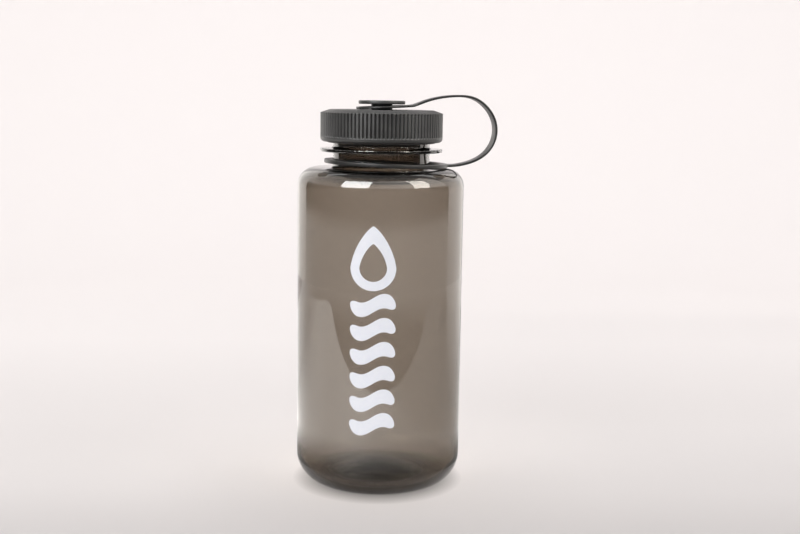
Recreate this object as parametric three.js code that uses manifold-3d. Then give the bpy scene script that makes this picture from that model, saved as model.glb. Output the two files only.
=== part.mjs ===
// Wide-mouth drinking bottle with a screw cap and a captive loop tether.
// Millimetres, +Z up. The origin is the centre of the foot ring, on the bottle's axis.
// The one-piece moulded tether is split into eyelet, strap and neck ring, because it flexes
// when the cap is unscrewed.

import * as THREE from 'three';
import { mergeVertices } from 'three/addons/utils/BufferGeometryUtils.js';
import Module from 'manifold-3d';

const wasm = await Module();
wasm.setup();

// ---- driving dimensions -------------------------------------------------------------

const GAP = 0.3;                  // clearance kept between separate pieces at rest
const LATHE_SEGMENTS = 56;

// bottle
const BODY_RADIUS = 44.5;
const WALL = 1.8;
const NECK_WALL = 4.3;            // the wall thickens across the shoulder to this
const HEEL_RADIUS = 15;
const FOOT_WIDTH = 4;             // width of the flat ring that the bottle stands on
const PUNT_RISE = 5;              // height of the hollow under the base, at its centre
const BASE_THICKNESS = 3;
const GATE_THICKNESS = 6;         // the base is thickest at its centre
const SHOULDER_Z = 171.3;
const SHOULDER_RADIUS = 9.3;
const NECK_RADIUS = 25.8;
const NECK_FILLET = 1.6;
const RIM_Z = 197.9;
const RIM_ROUND = 0.5;
const BEAD_RADIUS = 32.6;         // support ledge that stops the tether from riding up
const BEAD_Z = 179.9;
const BEAD_THICKNESS = 1.75;
const BEAD_ROUND = 0.4;

// thread: right-handed, single start, six turns to the inch
const THREAD_PITCH = 25.4 / 6;
const THREAD_START_Z = 188.2;     // centre of the neck's ridge where it starts
const NECK_THREAD_TURNS = 1.5;
const CAP_THREAD_TURNS = 1.25;
const NECK_THREAD_CREST = 27.9;
const CAP_THREAD_CREST = 26.4;
const THREAD_ROOT_HALF = 1;       // half height of a ridge at its root
const THREAD_CREST_HALF = 0.5;
const THREAD_EMBED = 0.6;         // how far a ridge is sunk into its wall
const THREAD_STEPS_PER_TURN = 40;
const THREAD_RUNOUT_STEPS = 4;

// cap
const CAP_RADIUS = 32.6;
const CAP_BORE = 28.6;
const CAP_BOTTOM_Z = 185.1;
const CAP_TOP_Z = 202;
const CAP_PLATE = 2;
const CAP_BEVEL_RADIUS = 27.8;    // where the flat top meets the bevel
const CAP_BEVEL_Z = 200.4;
const CAP_EDGE_ROUND = 0.9;
const CAP_BAND_TOP_Z = 187.4;     // top of the plain band under the ribs
const RIB_COUNT = 96;
const RIB_ROOT_RADIUS = 31.8;
const RIB_INNER_RADIUS = 30.4;
const PLUG_RADIUS = 21;           // lip that holds the gasket in place
const PLUG_THICKNESS = 1.2;
const PLUG_DEPTH = 3;
const BOSS_RADIUS = 6.8;
const BOSS_BOTTOM_Z = 195.9;
const SOCKET_RADIUS = 4.2;
const SOCKET_BOTTOM_Z = 197.1;

// gasket
const GASKET_OUTER_RADIUS = 27;
const GASKET_INNER_RADIUS = 22.1;

// retaining button on top of the cap
const BUTTON_RADIUS = 12.45;
const BUTTON_UNDERSIDE_Z = 205;
const BUTTON_THICKNESS = 1.9;
const BUTTON_ROUND = 0.45;
const BUTTON_STEM_RADIUS = 5.65;

// tether
const TETHER_THICKNESS = 1.2;
const TETHER_WIDTH = 8;
const TETHER_AZIMUTH = THREE.MathUtils.degToRad(10);
const EYELET_RADIUS = 14.1;
const EYELET_HOLE_RADIUS = 6.4;
const EYELET_OFFSET = 0.4;        // the strap pulls the eyelet a little off centre
const EYELET_TILT = THREE.MathUtils.degToRad(2.6);
const NECK_RING_RADIUS = 33.1;
const NECK_RING_HOLE_RADIUS = 28.8;
const NECK_RING_THICKNESS = 2;
const NECK_RING_OFFSET = 2.6;
const NECK_RING_TILT = THREE.MathUtils.degToRad(-1.95);
const NECK_RING_Z = 173.75;       // height of the tilted ring's centre
const NECK_RING_REACH = 37;       // end of the tab that the strap grows from
const STRAP_STEPS = 44;

// The strap's centre line in the tether's own plane: distance from the bottle's axis, height.
const STRAP_ROUTE = [
  [14.9, 204.2],
  [21.8, 206.2],
  [30.5, 208.7],
  [40, 209.8],
  [49.8, 208.8],
  [57.2, 203.9],
  [61.7, 196.5],
  [62, 187.6],
  [57.6, 179.8],
  [50, 175],
  [43, 173.1],
  [37.3, 172.6],
];

// ---- shared shapes ------------------------------------------------------------------

const point = (x, y) => new THREE.Vector2(x, y);

// Points of an arc in the radius-height plane, both ends included.
function arc(centreRadius, centreZ, radius, fromDegrees, toDegrees, steps) {
  const points = [];
  for (let i = 0; i <= steps; i += 1) {
    const angle = THREE.MathUtils.degToRad(fromDegrees + ((toDegrees - fromDegrees) * i) / steps);
    const across = centreRadius + radius * Math.cos(angle);
    points.push(point(across, centreZ + radius * Math.sin(angle)));
  }
  return points;
}

function signedVolume(vertices, triangles) {
  const a = new THREE.Vector3();
  const b = new THREE.Vector3();
  const c = new THREE.Vector3();
  let total = 0;
  for (let i = 0; i < triangles.length; i += 3) {
    a.fromArray(vertices, triangles[i] * 3);
    b.fromArray(vertices, triangles[i + 1] * 3);
    c.fromArray(vertices, triangles[i + 2] * 3);
    total += a.dot(b.cross(c)) / 6;
  }
  return total;
}

// A closed three.js geometry as a solid that can be joined and cut.
function solidFrom(geometry) {
  const bare = geometry.clone();
  bare.deleteAttribute('normal');
  bare.deleteAttribute('uv');
  const merged = mergeVertices(bare, 1e-4);
  const vertices = merged.attributes.position.array;
  const triangles = [];
  for (let i = 0; i < merged.index.count; i += 3) {
    const [a, b, c] = [0, 1, 2].map((corner) => merged.index.getX(i + corner));
    if (a !== b && b !== c && c !== a) triangles.push(a, b, c);
  }
  if (signedVolume(vertices, triangles) < 0) triangles.reverse();
  const mesh = new wasm.Mesh({
    numProp: 3,
    vertProperties: new Float32Array(vertices),
    triVerts: new Uint32Array(triangles),
  });
  return new wasm.Manifold(mesh);
}

function geometryFrom(solid) {
  const mesh = solid.getMesh();
  const geometry = new THREE.BufferGeometry();
  geometry.setAttribute('position', new THREE.BufferAttribute(mesh.vertProperties, 3));
  geometry.setIndex(new THREE.BufferAttribute(mesh.triVerts, 1));
  geometry.computeVertexNormals();
  return geometry;
}

// A profile of (radius, height) points turned about +Z.
function turned(profile, segments = LATHE_SEGMENTS) {
  const geometry = new THREE.LatheGeometry(profile, segments);
  geometry.rotateX(Math.PI / 2);
  return solidFrom(geometry);
}

// A flat round washer centred on the origin.
function washer(outerRadius, holeRadius, thickness, segments = LATHE_SEGMENTS) {
  const half = thickness / 2;
  const profile = [
    point(holeRadius, -half),
    point(outerRadius, -half),
    point(outerRadius, half),
    point(holeRadius, half),
    point(holeRadius, -half),
  ];
  return turned(profile, segments);
}

// A thread ridge: a trapezium swept up a helix, with its crest fading out at both ends.
function threadRidge(rootRadius, crestRadius, startZ, turns) {
  const steps = Math.round(turns * THREAD_STEPS_PER_TURN);
  const positions = [];
  for (let i = 0; i <= steps; i += 1) {
    const turn = i / THREAD_STEPS_PER_TURN;
    const angle = turn * 2 * Math.PI;
    const z = startZ + THREAD_PITCH * turn;
    const fade = Math.min(1, (1 + Math.min(i, steps - i)) / THREAD_RUNOUT_STEPS);
    const crest = rootRadius + (crestRadius - rootRadius) * fade;
    const section = [
      [rootRadius, z - THREAD_ROOT_HALF],
      [crest, z - THREAD_CREST_HALF],
      [crest, z + THREAD_CREST_HALF],
      [rootRadius, z + THREAD_ROOT_HALF],
    ];
    for (const [radius, height] of section) {
      positions.push(radius * Math.cos(angle), radius * Math.sin(angle), height);
    }
  }
  const triangles = [0, 1, 2, 0, 2, 3];
  for (let i = 0; i < steps; i += 1) {
    for (let side = 0; side < 4; side += 1) {
      const a = i * 4 + side;
      const b = i * 4 + ((side + 1) % 4);
      triangles.push(a, a + 4, b, b, a + 4, b + 4);
    }
  }
  const last = steps * 4;
  triangles.push(last, last + 2, last + 1, last, last + 3, last + 2);
  const geometry = new THREE.BufferGeometry();
  geometry.setAttribute('position', new THREE.Float32BufferAttribute(positions, 3));
  geometry.setIndex(triangles);
  return solidFrom(geometry);
}

// ---- bottle -------------------------------------------------------------------------

// The hollow under the base, or the rise of the floor above it, from the rim to the axis.
function domeHeight(radius, edgeRadius, edgeZ, centreZ) {
  return edgeZ + (centreZ - edgeZ) * (1 - (radius / edgeRadius) ** 2);
}

function bottleBody() {
  const heelCentre = BODY_RADIUS - HEEL_RADIUS;
  const footInner = heelCentre - FOOT_WIDTH;
  const shoulderCentre = BODY_RADIUS - SHOULDER_RADIUS;
  const shoulderArcZ = SHOULDER_Z - SHOULDER_RADIUS;
  const filletCentre = NECK_RADIUS + NECK_FILLET;
  const beadTop = BEAD_Z + BEAD_THICKNESS;
  const bore = NECK_RADIUS - NECK_WALL;
  const floorCentreZ = PUNT_RISE + GATE_THICKNESS;
  const domeSteps = [0, 0.4, 0.75];
  const outside = [
    ...domeSteps.map((t) => point(t * footInner, domeHeight(t, 1, 0, PUNT_RISE))),
    point(footInner, 0),
    ...arc(heelCentre, HEEL_RADIUS, HEEL_RADIUS, -90, 0, 6),
    ...arc(shoulderCentre, shoulderArcZ, SHOULDER_RADIUS, 0, 90, 5),
    ...arc(filletCentre, SHOULDER_Z + NECK_FILLET, NECK_FILLET, 270, 180, 2),
    point(NECK_RADIUS, BEAD_Z),
    point(BEAD_RADIUS - BEAD_ROUND, BEAD_Z),
    point(BEAD_RADIUS, BEAD_Z + BEAD_ROUND),
    point(BEAD_RADIUS, beadTop - BEAD_ROUND),
    point(BEAD_RADIUS - BEAD_ROUND, beadTop),
    point(NECK_RADIUS, beadTop),
    point(NECK_RADIUS, RIM_Z - RIM_ROUND),
    point(NECK_RADIUS - RIM_ROUND, RIM_Z),
  ];
  const inside = [
    point(bore + RIM_ROUND, RIM_Z),
    point(bore, RIM_Z - RIM_ROUND),
    ...arc(filletCentre, SHOULDER_Z + NECK_FILLET, NECK_FILLET + NECK_WALL, 180, 270, 3),
    ...arc(shoulderCentre, shoulderArcZ, SHOULDER_RADIUS - WALL, 90, 0, 4),
    ...arc(heelCentre, BASE_THICKNESS + HEEL_RADIUS - WALL, HEEL_RADIUS - WALL, 0, -90, 5),
    point(footInner, BASE_THICKNESS),
    ...domeSteps.reverse().map((t) => {
      return point(t * footInner, domeHeight(t, 1, BASE_THICKNESS, floorCentreZ));
    }),
  ];
  const shell = turned([...outside, ...inside]);
  const thread = threadRidge(
    NECK_RADIUS - THREAD_EMBED,
    NECK_THREAD_CREST,
    THREAD_START_Z,
    NECK_THREAD_TURNS,
  );
  return geometryFrom(shell.add(thread));
}

// ---- cap, gasket and button ---------------------------------------------------------

// A ring with V-shaped grip ribs outside, standing on the plain band.
function gripRibs() {
  const outline = [];
  for (let i = 0; i < RIB_COUNT * 2; i += 1) {
    const radius = i % 2 === 0 ? CAP_RADIUS : RIB_ROOT_RADIUS;
    const angle = (i * Math.PI) / RIB_COUNT;
    outline.push(point(radius * Math.cos(angle), radius * Math.sin(angle)));
  }
  const shape = new THREE.Shape(outline);
  const hole = new THREE.Path();
  hole.absarc(0, 0, RIB_INNER_RADIUS, 0, 2 * Math.PI, true);
  shape.holes.push(hole);
  const overlap = 0.1;
  const depth = CAP_BEVEL_Z - CAP_BAND_TOP_Z + 2 * overlap;
  const geometry = new THREE.ExtrudeGeometry(shape, {
    depth,
    bevelEnabled: false,
    curveSegments: 24,
  });
  geometry.translate(0, 0, CAP_BAND_TOP_Z - overlap);
  return solidFrom(geometry);
}

function capShell() {
  const plateUnderside = CAP_TOP_Z - CAP_PLATE;
  const plugInner = PLUG_RADIUS - PLUG_THICKNESS;
  const mouthChamfer = 0.5;
  const ribBackRadius = (RIB_INNER_RADIUS + RIB_ROOT_RADIUS) / 2;
  const profile = [
    point(0, BOSS_BOTTOM_Z),
    point(BOSS_RADIUS, BOSS_BOTTOM_Z),
    point(BOSS_RADIUS, plateUnderside),
    point(plugInner, plateUnderside),
    point(plugInner, plateUnderside - PLUG_DEPTH),
    point(PLUG_RADIUS, plateUnderside - PLUG_DEPTH),
    point(PLUG_RADIUS, plateUnderside),
    point(CAP_BORE, plateUnderside),
    point(CAP_BORE, CAP_BOTTOM_Z + mouthChamfer),
    point(CAP_BORE + mouthChamfer, CAP_BOTTOM_Z),
    ...arc(CAP_RADIUS - CAP_EDGE_ROUND, CAP_BOTTOM_Z + CAP_EDGE_ROUND, CAP_EDGE_ROUND, -90, 0, 3),
    point(CAP_RADIUS, CAP_BAND_TOP_Z),
    point(ribBackRadius, CAP_BAND_TOP_Z),
    point(ribBackRadius, CAP_BEVEL_Z),
    point(CAP_RADIUS, CAP_BEVEL_Z),
    point(CAP_BEVEL_RADIUS, CAP_TOP_Z),
    point(SOCKET_RADIUS, CAP_TOP_Z),
    point(SOCKET_RADIUS, SOCKET_BOTTOM_Z),
    point(0, SOCKET_BOTTOM_Z),
  ];
  const thread = threadRidge(
    CAP_BORE + THREAD_EMBED,
    CAP_THREAD_CREST,
    THREAD_START_Z - THREAD_PITCH / 2,
    CAP_THREAD_TURNS,
  );
  return geometryFrom(turned(profile).add(gripRibs()).add(thread));
}

function capButton() {
  const pinRadius = SOCKET_RADIUS - GAP;
  const top = BUTTON_UNDERSIDE_Z + BUTTON_THICKNESS;
  const profile = [
    point(0, SOCKET_BOTTOM_Z + GAP),
    point(pinRadius, SOCKET_BOTTOM_Z + GAP),
    point(pinRadius, CAP_TOP_Z + GAP),
    point(BUTTON_STEM_RADIUS, CAP_TOP_Z + GAP),
    point(BUTTON_STEM_RADIUS, BUTTON_UNDERSIDE_Z),
    point(BUTTON_RADIUS - BUTTON_ROUND, BUTTON_UNDERSIDE_Z),
    point(BUTTON_RADIUS, BUTTON_UNDERSIDE_Z + BUTTON_ROUND),
    point(BUTTON_RADIUS, top - BUTTON_ROUND),
    point(BUTTON_RADIUS - BUTTON_ROUND, top),
    point(0, top),
  ];
  return geometryFrom(turned(profile, 40));
}

function capGasket() {
  const bottom = RIM_Z + GAP;
  const top = CAP_TOP_Z - CAP_PLATE - GAP;
  const ring = washer(GASKET_OUTER_RADIUS, GASKET_INNER_RADIUS, top - bottom);
  return geometryFrom(ring.translate(0, 0, (top + bottom) / 2));
}

// ---- tether -------------------------------------------------------------------------

function tetherEyelet() {
  return geometryFrom(washer(EYELET_RADIUS, EYELET_HOLE_RADIUS, TETHER_THICKNESS, 40));
}

function tetherNeckRing() {
  const reach = NECK_RING_REACH - NECK_RING_OFFSET;
  const root = (NECK_RING_RADIUS + NECK_RING_HOLE_RADIUS) / 2;
  const tab = new THREE.BoxGeometry(reach - root, TETHER_WIDTH, TETHER_THICKNESS);
  tab.translate((reach + root) / 2, 0, 0);
  const ring = washer(NECK_RING_RADIUS, NECK_RING_HOLE_RADIUS, NECK_RING_THICKNESS);
  return geometryFrom(ring.add(solidFrom(tab)));
}

// A flat band: its side view, drawn along the route, is extruded across the tether's width.
function tetherStrap() {
  const route = STRAP_ROUTE.map(([across, height]) => new THREE.Vector3(across, height, 0));
  const curve = new THREE.CatmullRomCurve3(route, false, 'centripetal');
  const upper = [];
  const lower = [];
  for (let i = 0; i <= STRAP_STEPS; i += 1) {
    const centre = curve.getPointAt(i / STRAP_STEPS);
    const tangent = curve.getTangentAt(i / STRAP_STEPS);
    const side = new THREE.Vector3(-tangent.y, tangent.x, 0).multiplyScalar(TETHER_THICKNESS / 2);
    upper.push(point(centre.x + side.x, centre.y + side.y));
    lower.push(point(centre.x - side.x, centre.y - side.y));
  }
  const geometry = new THREE.ExtrudeGeometry(new THREE.Shape([...upper, ...lower.reverse()]), {
    depth: TETHER_WIDTH,
    bevelEnabled: false,
  });
  geometry.translate(0, 0, -TETHER_WIDTH / 2);
  geometry.rotateX(Math.PI / 2);
  return geometryFrom(solidFrom(geometry));
}

// ---- assembly -----------------------------------------------------------------------

const smokedPlastic = { color: 0x857a6c, roughness: 0.08, metalness: 0 };
const blackPlastic = { color: 0x2a2a2a, roughness: 0.45, metalness: 0 };
const blackTether = { color: 0x1d1e1e, roughness: 0.35, metalness: 0 };
const paleSilicone = { color: 0xd8d6d0, roughness: 0.6, metalness: 0 };

function piece(name, geometry, look) {
  const mesh = new THREE.Mesh(geometry, new THREE.MeshStandardMaterial(look));
  mesh.name = name;
  return mesh;
}

const bottle = new THREE.Group();
bottle.add(piece('bottle_body', bottleBody(), smokedPlastic));

const cap = new THREE.Group();
cap.add(piece('cap_shell', capShell(), blackPlastic));
cap.add(piece('cap_button', capButton(), blackPlastic));
cap.add(piece('cap_gasket', capGasket(), paleSilicone));

const eyelet = piece('tether_eyelet', tetherEyelet(), blackTether);
eyelet.position.set(EYELET_OFFSET, 0, (CAP_TOP_Z + BUTTON_UNDERSIDE_Z) / 2);
eyelet.rotation.y = -EYELET_TILT;

const neckRing = piece('tether_neck_ring', tetherNeckRing(), blackTether);
neckRing.position.set(NECK_RING_OFFSET, 0, NECK_RING_Z);
neckRing.rotation.y = -NECK_RING_TILT;

const tether = new THREE.Group();
tether.rotation.z = TETHER_AZIMUTH;
tether.add(eyelet, neckRing, piece('tether_strap', tetherStrap(), blackTether));

const assembly = new THREE.Group();
assembly.add(bottle, cap, tether);

export default assembly;
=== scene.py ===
import math

import bmesh
import bpy
import numpy as np
from mathutils import Matrix, Vector


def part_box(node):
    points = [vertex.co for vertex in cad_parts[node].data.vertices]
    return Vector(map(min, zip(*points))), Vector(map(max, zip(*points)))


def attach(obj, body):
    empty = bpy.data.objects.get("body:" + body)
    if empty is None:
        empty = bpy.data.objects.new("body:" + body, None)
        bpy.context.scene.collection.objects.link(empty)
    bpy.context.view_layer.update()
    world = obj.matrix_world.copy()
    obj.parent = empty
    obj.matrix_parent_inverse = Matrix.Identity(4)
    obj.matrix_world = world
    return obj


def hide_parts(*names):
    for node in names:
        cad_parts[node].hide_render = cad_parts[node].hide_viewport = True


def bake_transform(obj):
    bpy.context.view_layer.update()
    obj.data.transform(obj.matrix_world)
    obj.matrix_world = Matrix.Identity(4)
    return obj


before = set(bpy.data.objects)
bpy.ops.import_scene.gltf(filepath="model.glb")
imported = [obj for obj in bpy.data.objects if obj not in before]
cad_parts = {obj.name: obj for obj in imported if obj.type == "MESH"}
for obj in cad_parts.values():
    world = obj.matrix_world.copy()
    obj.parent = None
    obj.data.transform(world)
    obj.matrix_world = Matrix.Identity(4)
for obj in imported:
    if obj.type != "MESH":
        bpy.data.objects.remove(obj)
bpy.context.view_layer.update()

# ---- sizes ----------------------------------------------------------------------------
# Profiles are drawn in millimetres, as (radius, height) about the bottle's axis.

MM = 0.001
TURN = 2 * math.pi


def cad_size(node):
    """(largest radius about the axis, lowest height, highest height) of a round CAD node, in mm."""
    low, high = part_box(node)
    return max(-low[1], high[1]) / MM, low[2] / MM, high[2] / MM


BODY_RADIUS, _, RIM_Z = cad_size("bottle_body")
CAP_RADIUS, CAP_BOTTOM_Z, CAP_TOP_Z = cad_size("cap_shell")
BUTTON_RADIUS, BUTTON_PIN_Z, BUTTON_TOP_Z = cad_size("cap_button")
GASKET_RADIUS, GASKET_BOTTOM_Z, GASKET_TOP_Z = cad_size("cap_gasket")

WALL = 1.8
NECK_WALL = 4.3
HEEL_RADIUS = 15.0
FOOT_WIDTH = 4.0
FOOT_INNER = BODY_RADIUS - HEEL_RADIUS - FOOT_WIDTH
PUNT_RISE = 5.0
BASE_THICKNESS = 3.0
GATE_THICKNESS = 6.0
SHOULDER_Z = 171.3
SHOULDER_RADIUS = 9.3
NECK_RADIUS = 25.8
NECK_FILLET = 1.6
BEAD_RADIUS = 32.6
BEAD_Z = 179.9
BEAD_THICKNESS = 1.75

THREAD_PITCH = 25.4 / 6
THREAD_START_Z = 188.2
THREAD_ROOT_HALF = 1.0
THREAD_CREST_HALF = 0.5
NECK_THREAD_TURNS = 1.5
NECK_THREAD_HEIGHT = 2.1
CAP_THREAD_TURNS = 1.25
CAP_THREAD_HEIGHT = 2.2
THREAD_ROW = 0.25       # spacing of the mesh rows that carry a thread

CAP_BORE = 28.6
CAP_PLATE = 2.0
CAP_BEVEL_RADIUS = 27.8
CAP_BEVEL_Z = 200.4
CAP_BAND_TOP_Z = 187.4
RIB_COUNT = 96
RIB_DEPTH = 0.8
RIB_ROW = 0.2           # spacing of the mesh rows where the ribs fade out
PLUG_RADIUS = 21.0
PLUG_THICKNESS = 1.2
PLUG_DEPTH = 3.0
BOSS_RADIUS = 6.8
BOSS_BOTTOM_Z = 195.9
SOCKET_RADIUS = 4.2
SOCKET_BOTTOM_Z = 197.1
GASKET_INNER_RADIUS = 22.1

BUTTON_THICKNESS = 1.9
BUTTON_STEM_RADIUS = 5.65
BUTTON_PIN_RADIUS = 3.9

TETHER_AZIMUTH = math.radians(10)
TETHER_THICKNESS = 1.2
TETHER_WIDTH = 8.0
TETHER_EDGE = 0.35
STRAP_FLARE = 3.2
EYELET_RADIUS = 14.1
EYELET_HOLE_RADIUS = 6.4
EYELET_CENTRE = (0.4, 203.5)
EYELET_TILT = math.radians(2.6)
NECK_RING_RADIUS = 33.1
NECK_RING_HOLE_RADIUS = 28.8
NECK_RING_THICKNESS = 2.0
NECK_RING_CENTRE = (2.6, 173.75)
NECK_RING_TILT = math.radians(-1.95)

# The strap's centre line in the tether's own plane: distance from the axis, height.
STRAP_ROUTE = [
    (37.3, 172.6),
    (43.0, 173.1),
    (50.0, 175.0),
    (57.6, 179.8),
    (62.0, 187.6),
    (61.7, 196.5),
    (57.2, 203.9),
    (49.8, 208.8),
    (40.0, 209.8),
    (30.5, 208.7),
    (21.8, 206.2),
    (14.9, 204.2),
]


# ---- mesh helpers ---------------------------------------------------------------------


def smoothstep(low, high, value):
    t = min(1.0, max(0.0, (value - low) / (high - low)))
    return t * t * (3 - 2 * t)


def mesh_object(name, points, faces, sharp_degrees=40):
    """A mesh object from points in millimetres, smooth except at edges sharper than an angle."""
    mesh = bpy.data.meshes.new(name)
    mesh.from_pydata([Vector(p) * MM for p in points], [], faces)
    mesh.validate()
    finish_mesh(mesh, sharp_degrees)
    obj = bpy.data.objects.new(name, mesh)
    bpy.context.scene.collection.objects.link(obj)
    return obj


def merged(name, parts):
    points, faces = [], []
    for part_points, part_faces in parts:
        faces += [tuple(len(points) + k for k in face) for face in part_faces]
        points += part_points
    return mesh_object(name, points, faces)


def finish_mesh(mesh, sharp_degrees=40):
    """Faces point outwards and are smooth, except across sharp edges."""
    made = bmesh.new()
    made.from_mesh(mesh)
    bmesh.ops.remove_doubles(made, verts=made.verts, dist=1e-7)
    bmesh.ops.recalc_face_normals(made, faces=made.faces)
    made.to_mesh(mesh)
    made.free()
    mesh.polygons.foreach_set("use_smooth", [True] * len(mesh.polygons))
    mesh.set_sharp_from_angle(angle=math.radians(sharp_degrees))


def rounded(corners, steps=6):
    """An outline from (radius, height, fillet) corners, with each fillet drawn as an arc."""
    points = []
    for i, (x, z, fillet) in enumerate(corners):
        here = Vector((x, z))
        if fillet == 0 or i in (0, len(corners) - 1):
            points.append((x, z))
            continue
        back = (Vector(corners[i - 1][:2]) - here).normalized()
        ahead = (Vector(corners[i + 1][:2]) - here).normalized()
        half = back.angle(ahead) / 2
        centre = here + (back + ahead).normalized() * (fillet / math.sin(half))
        first = here + back * (fillet / math.tan(half)) - centre
        sweep = (math.pi - 2 * half) * (1 if back.cross(first) > 0 else -1)
        for k in range(steps + 1):
            a = sweep * k / steps
            spoke = Vector((
                first.x * math.cos(a) - first.y * math.sin(a),
                first.x * math.sin(a) + first.y * math.cos(a),
            ))
            points.append(tuple(centre + spoke))
    return points


def rows(x, low_z, high_z, spacing):
    """Evenly spaced corners up or down a straight wall, so that it can carry fine relief."""
    count = max(1, round(abs(high_z - low_z) / spacing))
    return [(x, low_z + (high_z - low_z) * i / count, 0) for i in range(count + 1)]


def lathe(name, outline, segments=256, relief=None, closed=False, angles=None):
    """Turns an outline about the axis. relief(angle, radius, height) moves the surface outwards."""
    angles = angles or [TURN * i / segments for i in range(segments)]
    count = len(angles)
    points, first = [], []
    for radius, height in outline:
        first.append(len(points))
        if radius < 1e-6:
            points.append((0, 0, height))
            continue
        for a in angles:
            r = radius + (relief(a, radius, height) if relief else 0)
            points.append((r * math.cos(a), r * math.sin(a), height))
    on_axis = [radius < 1e-6 for radius, _ in outline]
    faces = []
    pairs = list(zip(range(len(outline) - 1), range(1, len(outline))))
    if closed:
        pairs.append((len(outline) - 1, 0))
    for low, high in pairs:
        for i in range(count):
            j = (i + 1) % count
            a, b = first[low] + i, first[low] + j
            c, d = first[high] + j, first[high] + i
            if on_axis[low]:
                faces.append((first[low], c, d))
            elif on_axis[high]:
                faces.append((a, b, first[high]))
            else:
                faces.append((a, b, c, d))
    return mesh_object(name, points, faces)


def thread_height(angle, height, start_z, turns, size):
    """How far the ridge of a right-handed thread stands out of its wall at a place on it."""
    out = 0.0
    for lap in range(math.ceil(turns) + 1):
        turn = angle / TURN + lap
        if turn > turns:
            break
        fade = smoothstep(0, 0.08, turn) * smoothstep(0, 0.08, turns - turn)
        away = abs(height - (start_z + THREAD_PITCH * turn))
        flank = 1 - smoothstep(THREAD_CREST_HALF, THREAD_ROOT_HALF, away)
        out = max(out, size * fade * flank)
    return out


# ---- materials ------------------------------------------------------------------------


class Look:
    """A Principled material with small helpers for its procedural detail."""

    def __init__(self, name, **values):
        self.material = bpy.data.materials.new(name)
        self.material.use_nodes = True
        self.tree = self.material.node_tree
        self.shader = self.tree.nodes["Principled BSDF"]
        self.place = self.add("ShaderNodeTexCoord").outputs["Object"]
        for socket, value in values.items():
            self.shader.inputs[socket.replace("_", " ")].default_value = value

    def add(self, kind, **settings):
        node = self.tree.nodes.new(kind)
        for key, value in settings.items():
            setattr(node, key, value)
        return node

    def link(self, out, into):
        self.tree.links.new(out, into)

    def noise(self, scale, detail=4, roughness=0.5, stretch=None):
        """Noise with scale cells per metre, optionally stretched along the axes."""
        texture = self.add("ShaderNodeTexNoise")
        texture.inputs["Scale"].default_value = scale
        texture.inputs["Detail"].default_value = detail
        texture.inputs["Roughness"].default_value = roughness
        place = self.place
        if stretch:
            mapping = self.add("ShaderNodeMapping")
            mapping.inputs["Scale"].default_value = stretch
            self.link(place, mapping.inputs["Vector"])
            place = mapping.outputs["Vector"]
        self.link(place, texture.inputs["Vector"])
        return texture.outputs["Fac"]

    def spread(self, value, low, high, from_low=0.3, from_high=0.7):
        """Maps a range of one value, such as a 0 to 1 pattern, onto a range of numbers."""
        node = self.add("ShaderNodeMapRange")
        self.link(value, node.inputs["Value"])
        settings = {"From Min": from_low, "From Max": from_high, "To Min": low, "To Max": high}
        for socket, number in settings.items():
            node.inputs[socket].default_value = number
        return node.outputs["Result"]

    def distance(self):
        """Distance from the origin, in metres."""
        node = self.add("ShaderNodeVectorMath", operation="LENGTH")
        self.link(self.place, node.inputs[0])
        return node.outputs["Value"]

    def axis(self, name):
        """The place along X, Y or Z, in metres."""
        node = self.add("ShaderNodeSeparateXYZ")
        self.link(self.place, node.inputs["Vector"])
        return node.outputs[name]

    def combined(self, operation, first, second):
        node = self.add("ShaderNodeMath", operation=operation)
        self.link(first, node.inputs[0])
        self.link(second, node.inputs[1])
        return node.outputs["Value"]

    def glow_by(self, strength):
        self.link(strength, self.shader.inputs["Emission Strength"])

    def colours(self, value, low, high, start=0.3, end=0.7):
        """Base colours from low to high over a 0 to 1 pattern."""
        ramp = self.add("ShaderNodeValToRGB")
        ramp.color_ramp.elements[0].position = start
        ramp.color_ramp.elements[1].position = end
        ramp.color_ramp.elements[0].color = (*low, 1)
        ramp.color_ramp.elements[1].color = (*high, 1)
        self.link(value, ramp.inputs["Fac"])
        self.link(ramp.outputs["Color"], self.shader.inputs["Base Color"])

    def bump(self, layers):
        """Bump from (pattern, height in mm, strength) layers, each on top of the last."""
        normal = None
        for value, height, strength in layers:
            node = self.add("ShaderNodeBump")
            node.inputs["Strength"].default_value = strength
            node.inputs["Distance"].default_value = height * MM
            self.link(value, node.inputs["Height"])
            if normal:
                self.link(normal, node.inputs["Normal"])
            normal = node.outputs["Normal"]
        self.link(normal, self.shader.inputs["Normal"])


def smoked_plastic():
    """Clear moulded plastic, tinted by what it absorbs on the way through the wall."""
    look = Look(
        "smoked_plastic",
        Base_Color=(1, 1, 1, 1),
        Transmission_Weight=1.0,
        IOR=1.55,
    )
    smears = look.noise(35, detail=5, roughness=0.65)
    look.link(look.spread(smears, 0.012, 0.05), look.shader.inputs["Roughness"])
    waves = look.noise(28, detail=1, stretch=(1, 1, 0.35))
    look.bump([(waves, 0.12, 0.25)])
    tint = look.add("ShaderNodeVolumeAbsorption")
    tint.inputs["Color"].default_value = (0.24, 0.145, 0.02, 1)
    tint.inputs["Density"].default_value = 515
    output = look.tree.nodes["Material Output"]
    look.link(tint.outputs["Volume"], output.inputs["Volume"])
    return look.material


def cap_plastic():
    """Black satin polypropylene with the fine spark-eroded grain of its mould."""
    look = Look("cap_plastic", Specular_IOR_Level=0.36)
    cloud = look.noise(90, detail=6, roughness=0.6)
    look.colours(cloud, (0.022, 0.022, 0.0225), (0.032, 0.032, 0.032))
    look.link(look.spread(cloud, 0.36, 0.50), look.shader.inputs["Roughness"])
    grain = look.noise(5200, detail=2)
    look.bump([(grain, 0.05, 0.35)])
    return look.material


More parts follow.
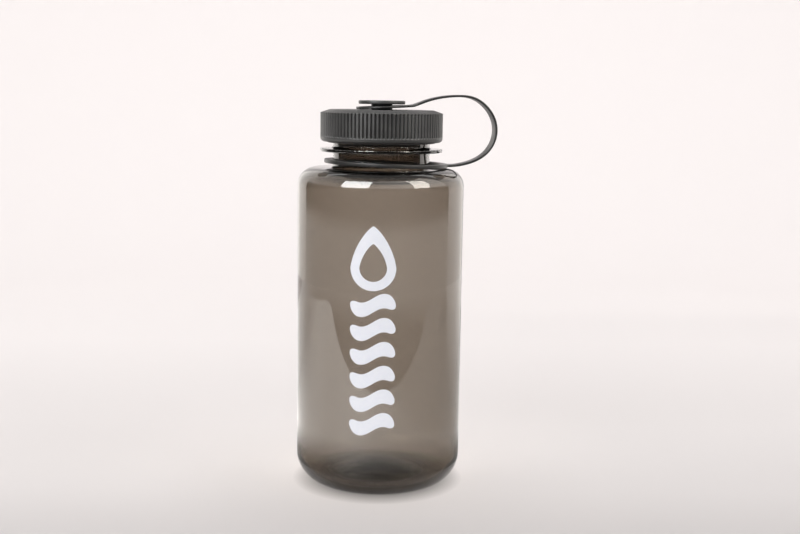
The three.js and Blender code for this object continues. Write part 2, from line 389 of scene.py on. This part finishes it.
def tether_plastic():
    """Black flexible plastic, smoother than the cap, with faint flow marks along it."""
    look = Look("tether_plastic", Specular_IOR_Level=0.3)
    cloud = look.noise(140, detail=5, roughness=0.6)
    look.colours(cloud, (0.006, 0.0062, 0.0065), (0.011, 0.011, 0.0115))
    look.link(look.spread(cloud, 0.30, 0.44), look.shader.inputs["Roughness"])
    flow = look.noise(700, detail=3, stretch=(0.2, 1, 1))
    look.bump([(flow, 0.04, 0.25)])
    return look.material


def gasket_silicone():
    """Off-white silicone, a little translucent."""
    look = Look(
        "gasket_silicone",
        Subsurface_Weight=0.25,
        Subsurface_Scale=0.001,
        Specular_IOR_Level=0.4,
    )
    cloud = look.noise(200, detail=4)
    look.colours(cloud, (0.62, 0.61, 0.57), (0.72, 0.71, 0.68))
    look.link(look.spread(cloud, 0.45, 0.6), look.shader.inputs["Roughness"])
    look.bump([(look.noise(2500, detail=2), 0.02, 0.3)])
    return look.material


def print_ink():
    """Cool white screen print: slightly uneven ink with a faint orange-peel surface."""
    look = Look("print_ink", Specular_IOR_Level=0.45)
    cloud = look.noise(450, detail=6, roughness=0.7)
    look.colours(cloud, (0.85, 0.89, 0.985), (0.90, 0.935, 1.0))
    look.link(look.spread(cloud, 0.38, 0.52), look.shader.inputs["Roughness"])
    look.bump([(look.noise(3000, detail=2), 0.015, 0.3)])
    return look.material


def dress(piece, material):
    piece.data.materials.clear()
    piece.data.materials.append(material)


# ---- bottle ---------------------------------------------------------------------------


def dome(edge_z, centre_z, steps=10):
    """The domed base from the axis out to the foot, as corners without fillets."""
    corners = []
    for i in range(steps):
        t = i / steps
        corners.append((t * FOOT_INNER, edge_z + (centre_z - edge_z) * (1 - t * t), 0))
    return corners


def bottle_body():
    bore = NECK_RADIUS - NECK_WALL
    inner = BODY_RADIUS - WALL
    bead_top = BEAD_Z + BEAD_THICKNESS
    floor_z = PUNT_RISE + GATE_THICKNESS
    outline = rounded([
        *dome(0, PUNT_RISE),
        (FOOT_INNER, 0, 2.0),
        (BODY_RADIUS, 0, HEEL_RADIUS),
        (BODY_RADIUS, SHOULDER_Z, SHOULDER_RADIUS),
        (NECK_RADIUS, SHOULDER_Z, NECK_FILLET),
        (NECK_RADIUS, BEAD_Z, 0.35),
        (BEAD_RADIUS, BEAD_Z, 0.5),
        (BEAD_RADIUS, bead_top, 0.5),
        (NECK_RADIUS, bead_top, 1.6),
        *rows(NECK_RADIUS, THREAD_START_Z - 1.4, RIM_Z - 1.6, THREAD_ROW),
        (NECK_RADIUS, RIM_Z, 0.6),
        (bore, RIM_Z, 0.6),
        (bore, SHOULDER_Z - NECK_WALL, NECK_FILLET + NECK_WALL),
        (inner, SHOULDER_Z - WALL, SHOULDER_RADIUS - WALL),
        (inner, BASE_THICKNESS, HEEL_RADIUS - WALL),
        (FOOT_INNER, BASE_THICKNESS, 3.0),
        *reversed(dome(BASE_THICKNESS, floor_z)),
    ], steps=12)

    def relief(angle, radius, height):
        if abs(radius - NECK_RADIUS) > 1e-3 or height < bead_top + 2:
            return 0
        return thread_height(
            angle, height, THREAD_START_Z, NECK_THREAD_TURNS, NECK_THREAD_HEIGHT
        )

    body = lathe("body_shell", outline, relief=relief)
    body.visible_shadow = False     # light passes a clear body, so it must not shade the floor
    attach(body, "bottle")
    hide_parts("bottle_body")
    return body


# ---- cap, gasket and button -----------------------------------------------------------


def rib_angles():
    """Angles round the cap, closer together where a rib's groove curves."""
    across = (0, 0.22, 0.36, 0.5, 0.64, 0.78)
    return [TURN * (rib + part) / RIB_COUNT for rib in range(RIB_COUNT) for part in across]


def cap_shell():
    plate_z = CAP_TOP_Z - CAP_PLATE
    plug_inner = PLUG_RADIUS - PLUG_THICKNESS
    thread_start = THREAD_START_Z - THREAD_PITCH / 2
    outline = rounded([
        (0, BOSS_BOTTOM_Z, 0),
        (BOSS_RADIUS, BOSS_BOTTOM_Z, 0.5),
        (BOSS_RADIUS, plate_z, 0.6),
        (plug_inner, plate_z, 0.4),
        (plug_inner, plate_z - PLUG_DEPTH, 0.3),
        (PLUG_RADIUS, plate_z - PLUG_DEPTH, 0.3),
        (PLUG_RADIUS, plate_z, 0.2),
        (CAP_BORE, plate_z, 0.8),
        *rows(CAP_BORE, thread_start + 6.6, thread_start - 1.1, THREAD_ROW),
        (CAP_BORE, CAP_BOTTOM_Z, 0.5),
        (CAP_RADIUS, CAP_BOTTOM_Z, 2.0),
        *rows(CAP_RADIUS, CAP_BAND_TOP_Z - 0.1, CAP_BAND_TOP_Z + 0.9, RIB_ROW),
        *rows(CAP_RADIUS, CAP_BEVEL_Z - 1.2, CAP_BEVEL_Z - 0.4, RIB_ROW),
        (CAP_RADIUS, CAP_BEVEL_Z, 0.3),
        (CAP_BEVEL_RADIUS, CAP_TOP_Z, 1.5),
        (SOCKET_RADIUS, CAP_TOP_Z, 0.2),
        (SOCKET_RADIUS, SOCKET_BOTTOM_Z, 0.2),
        (0, SOCKET_BOTTOM_Z, 0),
    ])

    def relief(angle, radius, height):
        if abs(radius - CAP_BORE) < 1e-3 and height < plate_z - 1:
            return -thread_height(
                angle, height, thread_start, CAP_THREAD_TURNS, CAP_THREAD_HEIGHT
            )
        if radius < CAP_BEVEL_RADIUS + 2 or height < CAP_BAND_TOP_Z:
            return 0
        part = (angle * RIB_COUNT / TURN) % 1
        groove = smoothstep(0.2, 0.5, part) - smoothstep(0.5, 0.8, part)
        lower = smoothstep(CAP_BAND_TOP_Z, CAP_BAND_TOP_Z + 0.7, height)
        upper = 1 - smoothstep(CAP_BEVEL_Z - 0.5, CAP_BEVEL_Z + 0.3, height)
        return -RIB_DEPTH * groove * lower * upper

    cap = lathe("cap_moulding", outline, relief=relief, angles=rib_angles())
    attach(cap, "cap")
    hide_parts("cap_shell")
    return cap


def cap_button():
    head_z = BUTTON_TOP_Z - BUTTON_THICKNESS
    outline = rounded([
        (0, BUTTON_PIN_Z, 0),
        (BUTTON_PIN_RADIUS, BUTTON_PIN_Z, 0.5),
        (BUTTON_PIN_RADIUS, CAP_TOP_Z + 0.1, 0.1),
        (BUTTON_STEM_RADIUS, CAP_TOP_Z + 0.1, 0.2),
        (BUTTON_STEM_RADIUS, head_z, 0.3),
        (BUTTON_RADIUS, head_z, 0.6),
        (BUTTON_RADIUS, BUTTON_TOP_Z, 0.6),
        (0, BUTTON_TOP_Z, 0),
    ])
    button = lathe("cap_retainer_button", outline, segments=160)
    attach(button, "cap")
    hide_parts("cap_button")
    return button


def cap_gasket():
    outline = rounded([
        ((GASKET_INNER_RADIUS + GASKET_RADIUS) / 2, GASKET_BOTTOM_Z, 0),
        (GASKET_RADIUS, GASKET_BOTTOM_Z, 0.4),
        (GASKET_RADIUS, GASKET_TOP_Z, 0.4),
        (GASKET_INNER_RADIUS, GASKET_TOP_Z, 0.4),
        (GASKET_INNER_RADIUS, GASKET_BOTTOM_Z, 0.4),
        ((GASKET_INNER_RADIUS + GASKET_RADIUS) / 2 - 0.1, GASKET_BOTTOM_Z, 0),
    ])
    gasket = lathe("cap_seal_ring", outline, segments=192, closed=True)
    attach(gasket, "gasket")
    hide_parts("cap_gasket")
    return gasket


# ---- tether ---------------------------------------------------------------------------
# The tether is drawn flat, as it comes out of its mould, and then bent along its route:
# "along" runs from the neck ring's centre to the eyelet's centre, "across" is its width.


def natural_spline(points, start_direction, end_direction, steps=400):
    """A smooth curve through points with given end directions, sampled evenly along itself."""
    points = np.array(points, float)
    knots = np.concatenate([[0], np.cumsum(np.linalg.norm(np.diff(points, axis=0), axis=1))])
    gaps = np.diff(knots)
    count = len(points)
    matrix, right = np.zeros((count, count)), np.zeros((count, 2))
    matrix[0, 0] = matrix[-1, -1] = 1
    right[0], right[-1] = start_direction, end_direction
    for i in range(1, count - 1):
        before, after = gaps[i - 1], gaps[i]
        matrix[i, i - 1], matrix[i, i], matrix[i, i + 1] = after, 2 * (before + after), before
        right[i] = 3 * (
            after * (points[i] - points[i - 1]) / before
            + before * (points[i + 1] - points[i]) / after
        )
    slopes = np.linalg.solve(matrix, right)
    samples = []
    for t in np.linspace(0, knots[-1], steps + 1):
        i = min(int(np.searchsorted(knots, t, side="right")) - 1, count - 2)
        u, h = (t - knots[i]) / gaps[i], gaps[i]
        samples.append(
            (1 + 2 * u) * (1 - u) ** 2 * points[i]
            + u * (1 - u) ** 2 * h * slopes[i]
            + u * u * (3 - 2 * u) * points[i + 1]
            + u * u * (u - 1) * h * slopes[i + 1]
        )
    return np.array(samples)


class Route:
    """Where a point of the flat tether goes once it is bent into its loop."""

    def __init__(self):
        ring_way = np.array([math.cos(NECK_RING_TILT), math.sin(NECK_RING_TILT)])
        eyelet_way = -np.array([math.cos(EYELET_TILT), math.sin(EYELET_TILT)])
        ring, eyelet = np.array(NECK_RING_CENTRE), np.array(EYELET_CENTRE)
        self.reach = float(np.dot(np.array(STRAP_ROUTE[0]) - ring, ring_way))
        start = ring + ring_way * self.reach
        eyelet_reach = float(np.dot(eyelet - np.array(STRAP_ROUTE[-1]), eyelet_way))
        end = eyelet - eyelet_way * eyelet_reach
        middle = natural_spline([start, *STRAP_ROUTE[1:-1], end], ring_way, eyelet_way)
        self.line = np.vstack([ring, middle, eyelet])
        steps = np.linalg.norm(np.diff(self.line, axis=0), axis=1)
        self.at = np.concatenate([[0], np.cumsum(steps)])
        self.length = float(self.at[-1])
        self.ways = np.gradient(middle, axis=0)
        self.ways /= np.linalg.norm(self.ways, axis=1)[:, None]
        self.ways[0], self.ways[-1] = ring_way, eyelet_way

    def bend(self, along, across, up):
        """The place on the bottle, in mm, of a point of the flat tether."""
        inner = min(max(along, self.at[1]), self.at[-2])
        place = np.array([np.interp(inner, self.at, self.line[:, k]) for k in (0, 1)])
        way = np.array([np.interp(inner, self.at[1:-1], self.ways[:, k]) for k in (0, 1)])
        way /= np.linalg.norm(way)
        place = place + way * (along - inner) + np.array([-way[1], way[0]]) * up
        out = math.cos(TETHER_AZIMUTH), math.sin(TETHER_AZIMUTH)
        return (
            place[0] * out[0] - across * out[1],
            place[0] * out[1] + across * out[0],
            place[1],
        )


def flat_washer(name, radius, hole, thickness, edge, along, segments):
    """A round plate with a hole and softened edges, lying flat in the tether's plan."""
    half = thickness / 2
    middle = (radius + hole) / 2
    plate = lathe(name, rounded([
        (middle, -half, 0),
        (radius, -half, edge),
        (radius, half, edge),
        (hole, half, edge),
        (hole, -half, edge),
        (middle - 0.1, -half, 0),
    ], steps=5), segments=segments, closed=True)
    plate.data.transform(Matrix.Translation((along * MM, 0, 0)))
    return plate


def flat_strap(length):
    """The strap in plan, flared where it runs into the ring and the eyelet."""
    edge = TETHER_EDGE
    half = TETHER_THICKNESS / 2
    first, last = NECK_RING_HOLE_RADIUS + 1.5, length - EYELET_HOLE_RADIUS - 2.5
    count = round((last - first) / 0.8)
    section = []
    for side, turn_from in ((1, -90), (1, 0), (-1, 90), (-1, 180)):
        rise = half - edge if turn_from in (0, 90) else edge - half
        for k in range(4):
            a = math.radians(turn_from + 30 * k)
            section.append((side, edge * math.cos(a), rise + edge * math.sin(a)))
    points = []
    for i in range(count + 1):
        along = first + (last - first) * i / count
        flare = 1 - smoothstep(NECK_RING_RADIUS - 1.5, NECK_RING_RADIUS + 5, along)
        flare += smoothstep(length - EYELET_RADIUS - 5, length - EYELET_RADIUS + 1.5, along)
        width = TETHER_WIDTH / 2 - edge + STRAP_FLARE * flare
        points += [(along, side * width + out, up) for side, out, up in section]
    size = len(section)
    faces = [tuple(range(size)), tuple(count * size + k for k in reversed(range(size)))]
    for i in range(count):
        for k in range(size):
            a, b = i * size + k, i * size + (k + 1) % size
            faces.append((a, a + size, b + size, b))
    return mesh_object("strap_plan", points, faces)


def join_solids(target, others):
    """Unites closed meshes into one closed mesh."""
    for other in others:
        cut = target.modifiers.new("join", "BOOLEAN")
        cut.operation = "UNION"
        cut.solver = "EXACT"
        cut.object = other
        dependencies = bpy.context.evaluated_depsgraph_get()
        joined = bpy.data.meshes.new_from_object(target.evaluated_get(dependencies))
        target.modifiers.clear()
        target.data = joined
        bpy.data.objects.remove(other)


def tether():
    route = Route()
    ring = flat_washer(
        "carry_loop", NECK_RING_RADIUS, NECK_RING_HOLE_RADIUS, NECK_RING_THICKNESS, 0.45, 0, 256
    )
    eyelet = flat_washer(
        "eyelet_plan", EYELET_RADIUS, EYELET_HOLE_RADIUS, TETHER_THICKNESS, TETHER_EDGE,
        route.length, 128
    )
    join_solids(ring, [flat_strap(route.length), eyelet])
    for vertex in ring.data.vertices:
        vertex.co = Vector(route.bend(*(vertex.co / MM))) * MM
    finish_mesh(ring.data, sharp_degrees=35)
    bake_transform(ring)
    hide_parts("tether_neck_ring", "tether_strap", "tether_eyelet")
    return ring


# ---- printed graphic ------------------------------------------------------------------

PRINT_CENTRE = -3.4     # distance round the front of the body from its middle, in mm
PRINT_BOTTOM_Z = 37.0
PRINT_TOP_Z = 144.5
PRINT_WIDTH = 23.6
DROP_HEIGHT = 33.0
DROP_LINE = 4.75
DROP_TIP_LINE = 9.0
DROP_TAPER = 0.28
BAND_COUNT = 6
BAND_THICKNESS = 7.4
BAND_SWING = 2.4
BAND_LOWERED = 1.2
INK = 0.04
INK_LIFT = 0.01


def on_body(across, height, lift):
    """A point of the flat artwork wrapped round the front of the body."""
    radius = BODY_RADIUS + lift
    a = (PRINT_CENTRE + across) / BODY_RADIUS
    return radius * math.sin(a), -radius * math.cos(a), height


def ink_strip(one_edge, other_edge, closed=False, layers=6):
    """Points and faces of a thin sheet of ink between two edges of equal length."""
    count = len(one_edge)
    points, faces = [], []
    for lift in (INK_LIFT, INK_LIFT + INK):
        for layer in range(layers + 1):
            t = layer / layers
            for (x0, z0), (x1, z1) in zip(one_edge, other_edge):
                points.append(on_body(x0 + (x1 - x0) * t, z0 + (z1 - z0) * t, lift))
    sheet = (layers + 1) * count
    spans = range(count if closed else count - 1)
    for k in spans:
        j = (k + 1) % count
        for layer in range(layers):
            a, b = layer * count + k, layer * count + j
            faces.append((a, b, b + count, a + count))
            faces.append((sheet + a, sheet + a + count, sheet + b + count, sheet + b))
        top = layers * count
        faces.append((k, sheet + k, sheet + j, j))
        faces.append((top + k, top + j, sheet + top + j, sheet + top + k))
    if not closed:
        for k in (0, count - 1):
            for layer in range(layers):
                a, b = layer * count + k, (layer + 1) * count + k
                faces.append((a, b, sheet + b, sheet + a))
    return points, faces


def wave_band(centre_z, steps=72):
    """A bold horizontal wave with rounded ends."""
    half = BAND_THICKNESS / 2
    lower, upper = [], []
    for i in range(steps + 1):
        x = -math.cos(math.pi * i / steps) * PRINT_WIDTH / 2
        inset = max(0.0, abs(x) - (PRINT_WIDTH / 2 - half))
        reach = math.sqrt(max(half * half - inset * inset, 0.0)) + 0.02
        z = centre_z + BAND_SWING * math.sin(TURN * x / PRINT_WIDTH)
        lower.append((x, z - reach))
        upper.append((x, z + reach))
    return ink_strip(lower, upper)


def drop_outline(width, low_z, high_z, steps=96):
    """A water drop: a round belly that draws up to a point."""
    radius = width / 2
    belly_z = low_z + radius
    points = []
    for i in range(steps):
        a = TURN * i / steps - math.pi / 2
        rise = math.sin(a)
        taper = max(0.0, 1 - rise) ** DROP_TAPER if rise > 0 else 1
        height = high_z - belly_z if rise > 0 else radius
        points.append((radius * math.cos(a) * taper, belly_z + height * rise))
    return points


def printed_graphic():
    drop_low = PRINT_TOP_Z - DROP_HEIGHT
    outer = drop_outline(PRINT_WIDTH, drop_low, PRINT_TOP_Z)
    inner = drop_outline(
        PRINT_WIDTH - 2 * DROP_LINE, drop_low + DROP_LINE, PRINT_TOP_Z - DROP_TIP_LINE
    )
    parts = [ink_strip(outer, inner, closed=True)]
    pitch = (drop_low - PRINT_BOTTOM_Z) / BAND_COUNT
    for i in range(BAND_COUNT):
        parts.append(wave_band(PRINT_BOTTOM_Z + pitch * (i + 0.5) - BAND_LOWERED))
    graphic = merged("printed_waves", parts)
    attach(graphic, "bottle")
    return graphic


# ---- stage ----------------------------------------------------------------------------
# The white paper ends in front of the bottle and on either side of it, and the room beyond
# is unlit. Only reflections on the bottle show this: glowing cards that light nothing paint
# those reflections, as painted light for the room, the lit paper and the ends of the sweep.
# Lengths here are in millimetres, and angles are in degrees from the camera's side, negative
# to its left.

FLOOR_RADIUS = 760
SWEEP_RADIUS = 460
BACKDROP_WALL = 1000
PAPER_FRONT = 240
PAPER_SIDE = 640
PAPER_BACK = 500
PAPER_INNER = 55
ROOM_FROM = -121
ROOM_TO = 104
ROOM_RADIUS = 750
CEILING_RADIUS = 1180
SIDE_RADIUS = 745
SIDE_TOP = 700
SIDE_FLOOR_FROM = 110

PAPER_COLOUR = (0.905, 0.872, 0.868)
# (part of the way back, painted shade): the paper is painted darker towards the camera, where the
# light falls off. The first two are the stops that a new ramp already has.
PAPER_SHADES = [(0, 0.61), (1, 1.0), (0.14, 0.70), (0.26, 0.82), (0.5, 0.87)]


def backdrop_paper():
    """Warm white paper with painted shade: gently darker towards the camera, where the light falls
    off, and a painted contact shadow under the bottle.
    """
    look = Look("backdrop_paper", Roughness=0.9, Specular_IOR_Level=0.2)
    ramp = look.add("ShaderNodeValToRGB")
    ramp.color_ramp.interpolation = "B_SPLINE"
    stops = ramp.color_ramp.elements
    for position, shade in PAPER_SHADES:
        stop = stops[position] if position in (0, 1) else stops.new(position)
        stop.color = (*(part * shade for part in PAPER_COLOUR), 1)
    # Painted shade: the paper darkens towards the camera, standing in for the light's falloff.
    along = look.spread(look.axis("Y"), 0.0, 1.0, from_low=-0.16, from_high=0.36)
    look.link(along, ramp.inputs["Fac"])
    darken = look.add("ShaderNodeHueSaturation")
    # Painted contact shadow: the paper darkens close to the bottle's axis, under its base.
    painted_contact_shadow = look.spread(look.distance(), 0.18, 1.0, from_low=0.030, from_high=0.047)
    look.link(painted_contact_shadow, darken.inputs["Value"])
    look.link(ramp.outputs["Color"], darken.inputs["Color"])
    look.link(darken.outputs["Color"], look.shader.inputs["Base Color"])
    return look.material


def backdrop():
    """A white floor that sweeps up into walls on every side."""
    outline = [(radius, 0) for radius in (0, 30, 60, 250, 500, FLOOR_RADIUS)]
    steps = 24
    for k in range(1, steps + 1):
        a = math.pi / 2 * k / steps
        reach, rise = SWEEP_RADIUS * math.sin(a), SWEEP_RADIUS * (1 - math.cos(a))
        outline.append((FLOOR_RADIUS + reach, rise))
    outline.append((FLOOR_RADIUS + SWEEP_RADIUS, BACKDROP_WALL))
    floor = lathe("backdrop_sweep", outline, segments=96)
    floor.data.materials.append(backdrop_paper())


def reflection_only(card, look):
    """Leaves a glowing card to the reflections: it lights nothing and isn't seen itself."""
    card.data.materials.append(look.material)
    card.visible_camera = False
    card.visible_diffuse = False
    card.visible_transmission = False
    card.visible_shadow = False


def glow(name, colour, strength=1.0):
    look = Look(name)
    look.shader.inputs["Base Color"].default_value = (0, 0, 0, 1)
    look.shader.inputs["Emission Color"].default_value = (*colour, 1)
    look.shader.inputs["Emission Strength"].default_value = strength
    return look


def arc_points(from_angle, to_angle, radius, z, steps):
    ways = [math.radians(from_angle + (to_angle - from_angle) * i / steps)
            for i in range(steps + 1)]
    return [(radius * math.sin(a), -radius * math.cos(a), z) for a in ways]


def between_arcs(first, second):
    """Points and faces of the strip between two arcs with the same number of points."""
    steps = len(first) - 1
    faces = [(i, i + 1, i + steps + 2, i + steps + 1) for i in range(steps)]
    return first + second, faces


def curtain(from_angle, to_angle, radius, low_z, high_z, steps=40):
    """An upright curved screen."""
    return between_arcs(*(arc_points(from_angle, to_angle, radius, z, steps)
                          for z in (low_z, high_z)))


def floor_sector(from_angle, to_angle, inner, outer, z, steps=24):
    """Part of a flat ring."""
    return between_arcs(*(arc_points(from_angle, to_angle, radius, z, steps)
                          for radius in (inner, outer)))


def flat_card(x0, y0, x1, y1, z):
    return [(x0, y0, z), (x1, y0, z), (x1, y1, z), (x0, y1, z)], [(0, 1, 2, 3)]


def painted_room_reflection():
    """A glowing card that paints the room past the paper into reflections: painted light, lightest
    at its floor's far end and on its ceiling, which is lighter on the right.
    """
    room = merged("painted_room_reflection", [
        curtain(ROOM_FROM, ROOM_TO, ROOM_RADIUS, 0, 340),
        curtain(ROOM_FROM, ROOM_TO, CEILING_RADIUS, 250, 2200),
        flat_card(-FLOOR_RADIUS, -FLOOR_RADIUS, FLOOR_RADIUS, -PAPER_FRONT, 2),
        flat_card(-FLOOR_RADIUS, -PAPER_FRONT, -PAPER_SIDE, 400, 2),
        flat_card(PAPER_SIDE, -PAPER_FRONT, FLOOR_RADIUS, 200, 2),
    ])
    look = glow("painted_room_reflection", (1.0, 0.96, 0.91))
    # Painted light: the floor glows more further away and only low down; the ceiling glows more
    # higher up and to the right.
    far = look.spread(look.distance(), 0.02, 1.3, from_low=0.5, from_high=0.8)
    low = look.spread(look.axis("Z"), 1.0, 0.06, from_low=0.086, from_high=0.112)
    high = look.spread(look.axis("Z"), 0.0, 1.0, from_low=0.25, from_high=0.50)
    right = look.spread(look.axis("X"), 1.6, 3.0, from_low=-0.5, from_high=0.7)
    floor = look.combined("MULTIPLY", far, low)
    ceiling = look.combined("MULTIPLY", high, right)
    look.glow_by(look.combined("ADD", floor, ceiling))
    reflection_only(room, look)


def painted_paper_reflection():
    """A glowing card that paints the lit paper round the bottle into reflections: painted light,
    brightest on the larger softbox's side, with painted shade close to the bottle.
    """
    steps = 48
    ring = [(PAPER_INNER * math.cos(TURN * i / steps), PAPER_INNER * math.sin(TURN * i / steps))
            for i in range(steps)]
    edge = []
    for x, y in ring:
        reach = min(
            PAPER_SIDE / max(abs(x), 1e-6),
            PAPER_FRONT / max(-y, 1e-6),
            PAPER_BACK / max(y, 1e-6),
        )
        edge.append((x * reach, y * reach))
    points = [(x, y, 3) for x, y in ring + edge]
    faces = [(i, (i + 1) % steps, steps + (i + 1) % steps, steps + i) for i in range(steps)]
    paper = mesh_object("painted_paper_reflection", points, faces)
    look = glow("painted_paper_reflection", (1.0, 0.97, 0.94))
    # Painted light and shade: brighter to the left, dimmer further back, and darker close to the
    # bottle.
    sideways = look.spread(look.axis("X"), 2.5, 0.85, from_low=-0.04, from_high=0.14)
    backwards = look.spread(look.axis("Y"), 1.0, 0.45, from_low=-0.02, from_high=0.17)
    outwards = look.spread(look.distance(), 0.12, 1.0, from_low=0.075, from_high=0.122)
    place = look.combined("MULTIPLY", sideways, backwards)
    look.glow_by(look.combined("MULTIPLY", place, outwards))
    reflection_only(paper, look)


def painted_side_reflections():
    """Glowing cards that paint the ends of the paper sweep, next to the softboxes, into
    reflections: painted light, brighter further out.
    """
    sides = merged("painted_side_reflections", [
        curtain(ROOM_TO, ROOM_TO + 50, SIDE_RADIUS, 5, SIDE_TOP),
        curtain(ROOM_FROM, ROOM_FROM - 40, SIDE_RADIUS, 3, SIDE_TOP),
        floor_sector(ROOM_TO, ROOM_TO + 50, SIDE_FLOOR_FROM, SIDE_RADIUS, 5),
    ])
    look = glow("painted_side_reflections", (1.0, 0.96, 0.92))
    # Painted light: the cards glow more further from the bottle and higher up.
    far = look.spread(look.distance(), 0.9, 1.85, from_low=0.25, from_high=0.7)
    high = look.spread(look.axis("Z"), 0.8, 1.0, from_low=0.0, from_high=0.15)
    look.glow_by(look.combined("MULTIPLY", far, high))
    reflection_only(sides, look)


def softbox(name, azimuth, elevation, distance, width, height, power):
    """A soft rectangular light, placed about the bottle and turned to the paper behind it."""
    middle = Vector((0, 0, 0.12))
    aim = Vector((0, 0.4, 0.3))
    a, e = math.radians(azimuth), math.radians(elevation)
    way = Vector((math.sin(a) * math.cos(e), -math.cos(a) * math.cos(e), math.sin(e)))
    data = bpy.data.lights.new(name, "AREA")
    data.shape = "RECTANGLE"
    data.size, data.size_y = width, height
    data.energy = power
    lamp = bpy.data.objects.new(name, data)
    lamp.location = middle + way * distance
    lamp.rotation_mode = "QUATERNION"
    lamp.rotation_quaternion = (aim - lamp.location).to_track_quat("-Z", "Y")
    lamp.visible_camera = False
    bpy.context.scene.collection.objects.link(lamp)
    return lamp


def softbox_painted_highlight(lamp, colour, strength):
    """A glowing card on a softbox's diffuser that lights nothing: a painted highlight, seen only in
    the reflections of the softbox.
    """
    x, y = lamp.data.size / 2 / MM, lamp.data.size_y / 2 / MM
    front = mesh_object(lamp.name + "_front", *flat_card(-x, -y, x, y, 0))
    front.rotation_mode = "QUATERNION"
    front.location, front.rotation_quaternion = lamp.location, lamp.rotation_quaternion
    reflection_only(front, glow(lamp.name + "_front", colour, strength))


def lights():
    left = softbox("softbox_left", -38.5, 35, 1.15, 0.74, 0.86, 5.6)
    # Painted highlights: glowing cards on the softboxes' fronts, seen only in reflections.
    softbox_painted_highlight(left, (1, 1, 1), 16)
    right = softbox("softbox_right", 61.5, 35, 1.15, 0.48, 0.86, 2.8)
    softbox_painted_highlight(right, (1.0, 0.95, 0.87), 13)
    wash = softbox("backdrop_wash", 180, 60, 1.3, 1.6, 0.6, 4.8)
    wash.rotation_quaternion = Vector((0, 0.62, -0.78)).to_track_quat("-Z", "Y")
    world = bpy.data.worlds.new("studio")
    world.use_nodes = True
    background = world.node_tree.nodes["Background"]
    background.inputs["Color"].default_value = (1.0, 0.985, 0.97, 1)
    background.inputs["Strength"].default_value = 0.56
    bpy.context.scene.world = world


def camera():
    """A camera in front of the bottle's cap that looks down at its body."""
    data = bpy.data.cameras.new("camera")
    data.sensor_width = 36
    data.lens = 52.96
    cam = bpy.data.objects.new("camera", data)
    pitch, pan, roll = math.radians(8.32), math.radians(0.99), math.radians(0.86)
    turn = (
        Matrix.Rotation(-pan, 4, "Z")
        @ Matrix.Rotation(math.pi / 2 - pitch, 4, "X")
        @ Matrix.Rotation(roll, 4, "Z")
    )
    cam.matrix_world = Matrix.Translation((0, -0.632, 0.210)) @ turn
    bpy.context.scene.collection.objects.link(cam)
    bpy.context.scene.camera = cam


# ---- assembly -------------------------------------------------------------------------

camera()
lights()
backdrop()
painted_room_reflection()
painted_paper_reflection()
painted_side_reflections()
bpy.context.scene.view_settings.view_transform = "Standard"

cap_look = cap_plastic()
dress(bottle_body(), smoked_plastic())
dress(cap_shell(), cap_look)
dress(cap_button(), cap_look)
dress(cap_gasket(), gasket_silicone())
dress(tether(), tether_plastic())
dress(printed_graphic(), print_ink())
